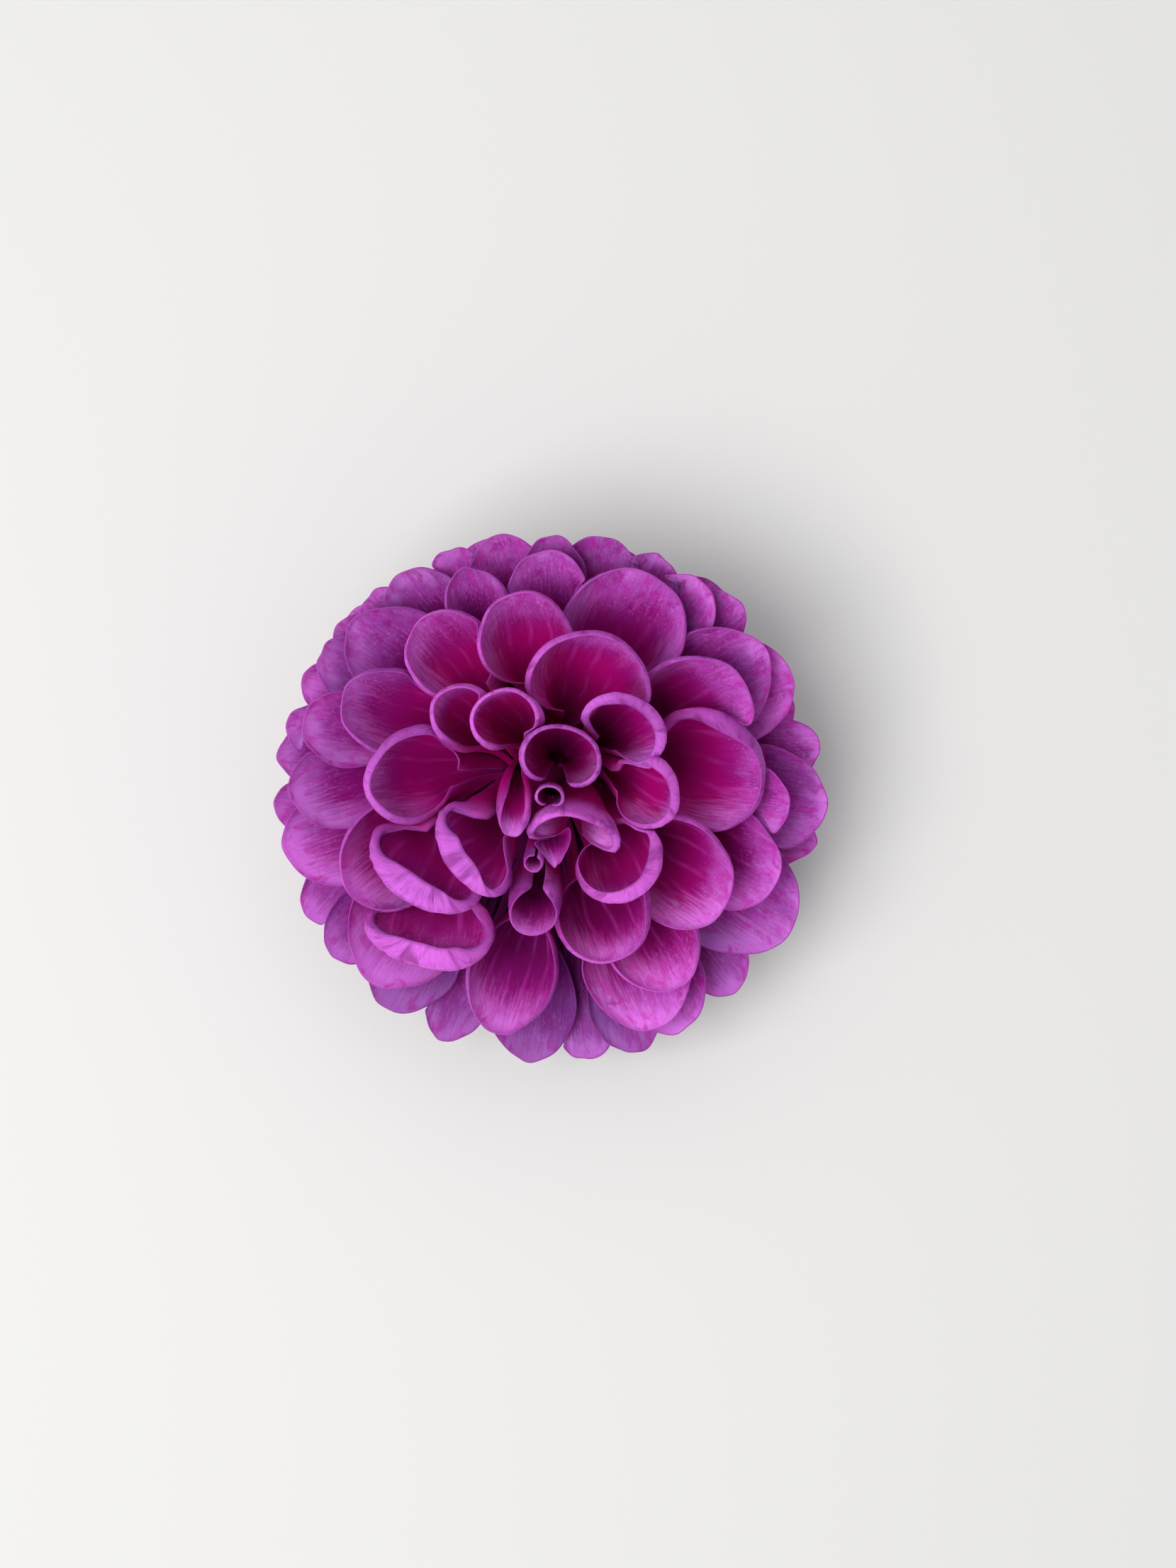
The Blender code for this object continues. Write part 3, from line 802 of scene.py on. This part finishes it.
# The green's grain: its noise and where it turns to the lighter green.
GRAIN = ((1.0, 1.0, 0.25), 900.0, 4.0)
LIGHT_GREEN_FROM = (0.35, 0.7)

# Green of the stem and the bracts, and the finish of the petal bases in the receptacle.
STEM_GREENS = ((0.10, 0.17, 0.035), (0.25, 0.33, 0.09))
BASE_COLOUR = (0.10, 0.001, 0.035)


def veins(tree, leaf, clouds):
    """Fine lines from the throat to the tip, which fade in and out."""
    wander = fibres(tree, leaf, *VEIN_NOISE)
    lines = plus(tree, times(tree, read(tree, "vein"), VEIN_COUNT), times(tree, wander, VEIN_WANDER))
    lines = maths(tree, "ABSOLUTE", less(tree, maths(tree, "FRACT", lines), 0.5))
    lines = less(tree, 1.0, ramp(tree, lines, *VEIN_WIDTH))
    return times(tree, lines, shown(tree, clouds, *VEINS_SHOWN))


def creases(tree, leaf, clouds):
    """Hairline cracks in a few patches of a petal."""
    cells = tree.nodes.new("ShaderNodeTexVoronoi")
    cells.feature = "DISTANCE_TO_EDGE"
    cells.inputs["Scale"].default_value, cells.inputs["Detail"].default_value = CREASE_CELLS
    link(tree, bent_by_noise(tree, leaf, *CREASE_BEND), cells.inputs["Vector"])
    cracks = less(tree, 1.0, ramp(tree, cells.outputs["Distance"], *CREASE_WIDTH))
    return times(tree, cracks, shown(tree, clouds, *CREASES_SHOWN))


def petal_finish():
    material, tree, shader = nodes_of("petal")
    leaf = read(tree, "leaf", "Vector")
    deep = read(tree, "deep")
    lip = read(tree, "lip")
    # Painted light: paler on margins that point to the lower left.
    pale = read(tree, "pale")
    # The tone holds painted shade of outer and low-side petals as well as each petal's random tone.
    tone_and_painted_shade = read(tree, "tone_and_painted_shade")
    long_fibres = fibres(tree, leaf, *LONG_FIBRES)
    short_fibres = fibres(tree, leaf, *SHORT_FIBRES)
    clouds = fibres(tree, leaf, *CLOUDS)
    smudges = fibres(tree, leaf, *SMUDGES)
    blots = fibres(tree, leaf, *BLOTS)

    # The inner face: deep in the throat, lilac towards the tip, with veins, fibres, mottles and flecks.
    uneven = unevenly(tree, deep, clouds, CLOUDY)
    # Painted shade: the throat turns plum on petals on the low side of the head.
    throat = blend(tree, read(tree, "low"), DEEP_MAGENTA, PAINTED_SHADE_PLUM)
    inner = blend(tree, ramp(tree, uneven, *DEEP_FROM), MAGENTA, throat)
    inner = blend(tree, ramp(tree, uneven, *MAGENTA_FROM), LILAC, inner)
    inner = blend(tree, ramp(tree, uneven, *LILAC_FROM), PALE_LILAC, inner)
    inner = blend(tree, veins(tree, leaf, clouds), inner, VEIN)
    near_tip = less(tree, 1.0, ramp(tree, deep, *PATTERNS_FADE))
    patterns = ((long_fibres, FIBRES_SHOWN, PALE_LILAC), (smudges, MOTTLES_SHOWN, MAGENTA),
                (short_fibres, FLECKS_SHOWN, PALE_LILAC))
    for noise, settings, colour in patterns:
        inner = blend(tree, times(tree, shown(tree, noise, *settings), near_tip), inner, colour)

    # Its pale lip, with magenta blotches, strongest where painted light falls on the margins that point to
    # the lower left.
    streaky = ramp(tree, unevenly(tree, lip, long_fibres, LIP_STREAKY), *LIP_FROM)
    inner = blend(tree, times(tree, streaky, shown(tree, pale, *LIP_SHOWN)), inner, PALE_LILAC)
    inner = blend(tree, times(tree, shown(tree, blots, *BLOTCHES_SHOWN), lip), inner, BLOTCH)

    # The back: painted-shade mauve or painted-light lilac by the way its margin points, with purple streaks
    # and smudges, deep again at the foot.
    back = blend(tree, pale, PAINTED_SHADE_BACK_MAUVE, PAINTED_LIGHT_BACK_LILAC)
    back = blend(tree, shown(tree, short_fibres, *STREAKS_SHOWN), back, OUTER_PURPLE)
    back = blend(tree, shown(tree, smudges, *SMUDGES_SHOWN), back, OUTER_PURPLE)
    back = blend(tree, ramp(tree, deep, *FOOT_FROM), back, DEEP_MAGENTA)

    # Both faces: creases and the thin mauve rim, and a tint of each petal's own, which also holds the painted
    # shade of the outer and low-side petals.
    colour = blend(tree, read(tree, "outer"), inner, back)
    colour = blend(tree, creases(tree, leaf, clouds), colour, CREASE)
    colour = blend(tree, shown(tree, read(tree, "rim"), *RIM_SHOWN), colour, RIM_MAUVE)
    tint = tree.nodes.new("ShaderNodeHueSaturation")
    link(tree, colour, tint.inputs["Color"])
    link(tree, varied(tree, HUE, tone_and_painted_shade), tint.inputs["Hue"])
    link(tree, varied(tree, BRIGHTNESS, tone_and_painted_shade), tint.inputs["Value"])
    link(tree, tint.outputs["Color"], shader.inputs["Base Color"])

    # A soft, fibrous skin that lets some light in.
    link(tree, varied(tree, ROUGHNESS, long_fibres), shader.inputs["Roughness"])
    shader.inputs["Specular IOR Level"].default_value = 0.12
    shader.inputs["Subsurface Weight"].default_value = 0.9
    shader.inputs["Subsurface Radius"].default_value = (1.0, 0.15, 0.6)
    shader.inputs["Subsurface Scale"].default_value = 0.0010
    bump = tree.nodes.new("ShaderNodeBump")
    bump.inputs["Strength"].default_value = 0.5
    bump.inputs["Distance"].default_value = 0.0003
    link(tree, plus(tree, long_fibres, times(tree, short_fibres, 0.5)), bump.inputs["Height"])
    link(tree, bump.outputs["Normal"], shader.inputs["Normal"])
    return material


def green_finish():
    material, tree, shader = nodes_of("green stem")
    coordinates = tree.nodes.new("ShaderNodeTexCoord").outputs["Object"]
    lighter = ramp(tree, fibres(tree, coordinates, *GRAIN), *LIGHT_GREEN_FROM)
    link(tree, blend(tree, lighter, *STEM_GREENS), shader.inputs["Base Color"])
    shader.inputs["Roughness"].default_value = 0.5
    return material


def plain_finish(name, colour, shine):
    material, tree, shader = nodes_of(name)
    shader.inputs["Base Color"].default_value = (*colour, 1.0)
    shader.inputs["Roughness"].default_value = 0.8
    shader.inputs["Specular IOR Level"].default_value = shine
    return material


# ---- the stem, the bracts and the receptacle ----

# Rings of bracts: how many, root and tip as radius and height, width, and their turn in steps.
BRACT_RINGS = ((8, (4.0, -30.2), (15.0, -28.6), 7.0, 0.0), (5, (3.0, -31.4), (11.0, -32.6), 5.0, 0.25))
BRACT_BELLY = (0.55, 1.6, -2.1)
BRACT_CUP = 0.18
BRACT_THICKNESS = 0.35
BRACT_GROOVE = 0.12

# The stub of stem with its cut end, and the receptacle, as radius and height.
STUB_PROFILE = [(0.0, -28.4), (6.5, -28.4), (7.0, -29.6), (6.2, -31.0), (4.6, -32.6), (4.0, -34.0),
                (4.0, -36.0), (3.9, -37.7), (3.6, -38.0), (1.4, -38.0), (1.2, -37.2), (0.0, -37.0)]
STUB_SEGMENTS = 48
CORE_PROFILE = [(0.0, -8.0), (4.5, -9.5), (8.5, -15.0), (11.0, -21.0), (10.0, -25.0), (7.0, -28.0),
                (0.0, -28.0)]
CORE_SEGMENTS = 32

# Points of a spun piece closer than this, in mm, are one: those on the axis.
MERGE_WITHIN = 0.0001


def turned(name, profile, segments):
    """A piece spun round the upright axis from a profile that starts and ends on it, as it lies."""
    bm = bmesh.new()
    line = [bm.verts.new((radius, 0.0, height)) for radius, height in profile]
    edges = [bm.edges.new(pair) for pair in zip(line, line[1:])]
    bmesh.ops.spin(bm, geom=line + edges, axis=(0, 0, 1), cent=(0, 0, 0), angle=2 * math.pi,
                   steps=segments, use_merge=True)
    bmesh.ops.remove_doubles(bm, verts=bm.verts, dist=MERGE_WITHIN)
    bmesh.ops.recalc_face_normals(bm, faces=bm.faces)
    bm.verts.index_update()
    bm.faces.sort(key=by_corners)
    return new_piece(name, bm, lie(np.array([vert.co for vert in bm.verts])), 0.0)


def bracts():
    """Pointed green leaves in rings under the petals."""
    template, shares = blade_template()
    s = -shares[:, 0]
    t = (shares[:, 1] + 1) / 2
    bm = bmesh.new()
    places = []
    for count, root, tip, width, turn in BRACT_RINGS:
        half = width / 2 * (BRACT_BELLY[0] + BRACT_BELLY[1] * t + BRACT_BELLY[2] * t * t)
        height = root[1] + (tip[1] - root[1]) * t * t + BRACT_CUP * half * s * s
        height = height - BRACT_THICKNESS * (shares[:, 2] < -0.5)
        height = height - BRACT_GROOVE * np.exp(-((s / 0.15) ** 2)) * (1 - t)
        radius = root[0] + (tip[0] - root[0]) * t
        for index in range(count):
            heading = 2 * math.pi * (index + turn) / count
            along = np.array([math.cos(heading), math.sin(heading), 0.0])
            across = np.array([-math.sin(heading), math.cos(heading), 0.0])
            points = radius[:, None] * along + (half * s)[:, None] * across
            points[:, 2] = height
            places.append(points)
            bm.from_mesh(template)
    bpy.data.meshes.remove(template)
    return new_piece("bracts", bm, lie(np.concatenate(places)), GROUND_GAP)


# ---- the flower ----

WHORLS = (("heart_petals", HEART, 11), ("inner_petals", INNER, 12), ("middle_petals", MIDDLE, 13),
          ("outer_petals", OUTER, 14), ("rim_petals", RIM, 15), ("back_petals", back_petals(), 16))


def finish_piece(piece, material, node):
    piece.data.materials.append(material)
    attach(piece, "root")
    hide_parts(node)


def flower():
    petal_material = petal_finish()
    earlier = []
    for name, petals, seed in WHORLS:
        finish_piece(whorl(name, petals, seed, earlier), petal_material, "bloom")
    green = green_finish()
    finish_piece(turned("stem_stub", STUB_PROFILE, STUB_SEGMENTS), green, "stem")
    finish_piece(bracts(), green, "stem")
    core = turned("receptacle", CORE_PROFILE, CORE_SEGMENTS)
    finish_piece(core, plain_finish("petal bases", BASE_COLOUR, 0.05), "bloom")


# ---- the studio ----

FLOOR_COLOUR = (0.62, 0.61, 0.59)
FLOOR_SIZE = 3.0
SKY_COLOUR = (0.93, 0.95, 1.0)
SKY_STRENGTH = 0.55

# The camera looks straight down from here, in mm from the middle of the head.
CAMERA_OFFSET = (7.0, 3.7, 400.0)
CAMERA_LENS = 48.95

# Lamps by place, size and power; they light the head from over it.
LAMPS = (("window", (-0.37, -0.16, 0.98), 0.65, 10.4), ("fill", (0.0, 0.6, 0.9), 0.8, 1.5))
LIT_POINT = Vector((0, 0, 0.03))


def floor():
    bm = bmesh.new()
    bmesh.ops.create_grid(bm, x_segments=1, y_segments=1, size=FLOOR_SIZE)
    mesh = bpy.data.meshes.new("floor")
    bm.to_mesh(mesh)
    bm.free()
    mesh.materials.append(plain_finish("pale floor", FLOOR_COLOUR, 0.5))
    piece = bpy.data.objects.new("floor", mesh)
    bpy.context.scene.collection.objects.link(piece)


def lamp(name, place, size, power):
    light = bpy.data.lights.new(name, "AREA")
    light.size = size
    light.energy = power
    piece = bpy.data.objects.new(name, light)
    bpy.context.scene.collection.objects.link(piece)
    piece.location = place
    piece.rotation_mode = "QUATERNION"
    piece.rotation_quaternion = (LIT_POINT - Vector(place)).to_track_quat("-Z", "Y")


def sky():
    world = bpy.data.worlds.new("studio")
    bpy.context.scene.world = world
    world.use_nodes = True
    background = world.node_tree.nodes["Background"]
    background.inputs["Color"].default_value = (*SKY_COLOUR, 1.0)
    background.inputs["Strength"].default_value = SKY_STRENGTH
    bpy.context.scene.view_settings.view_transform = "Standard"


def camera():
    lens = bpy.data.cameras.new("camera")
    lens.lens = CAMERA_LENS
    lens.sensor_width = 36.0
    lens.clip_start = 0.01
    piece = bpy.data.objects.new("camera", lens)
    bpy.context.scene.collection.objects.link(piece)
    piece.location = [(middle + offset) * MM for middle, offset in zip(CENTRE, CAMERA_OFFSET)]
    bpy.context.scene.camera = piece


flower()
floor()
for settings in LAMPS:
    lamp(*settings)
sky()
camera()
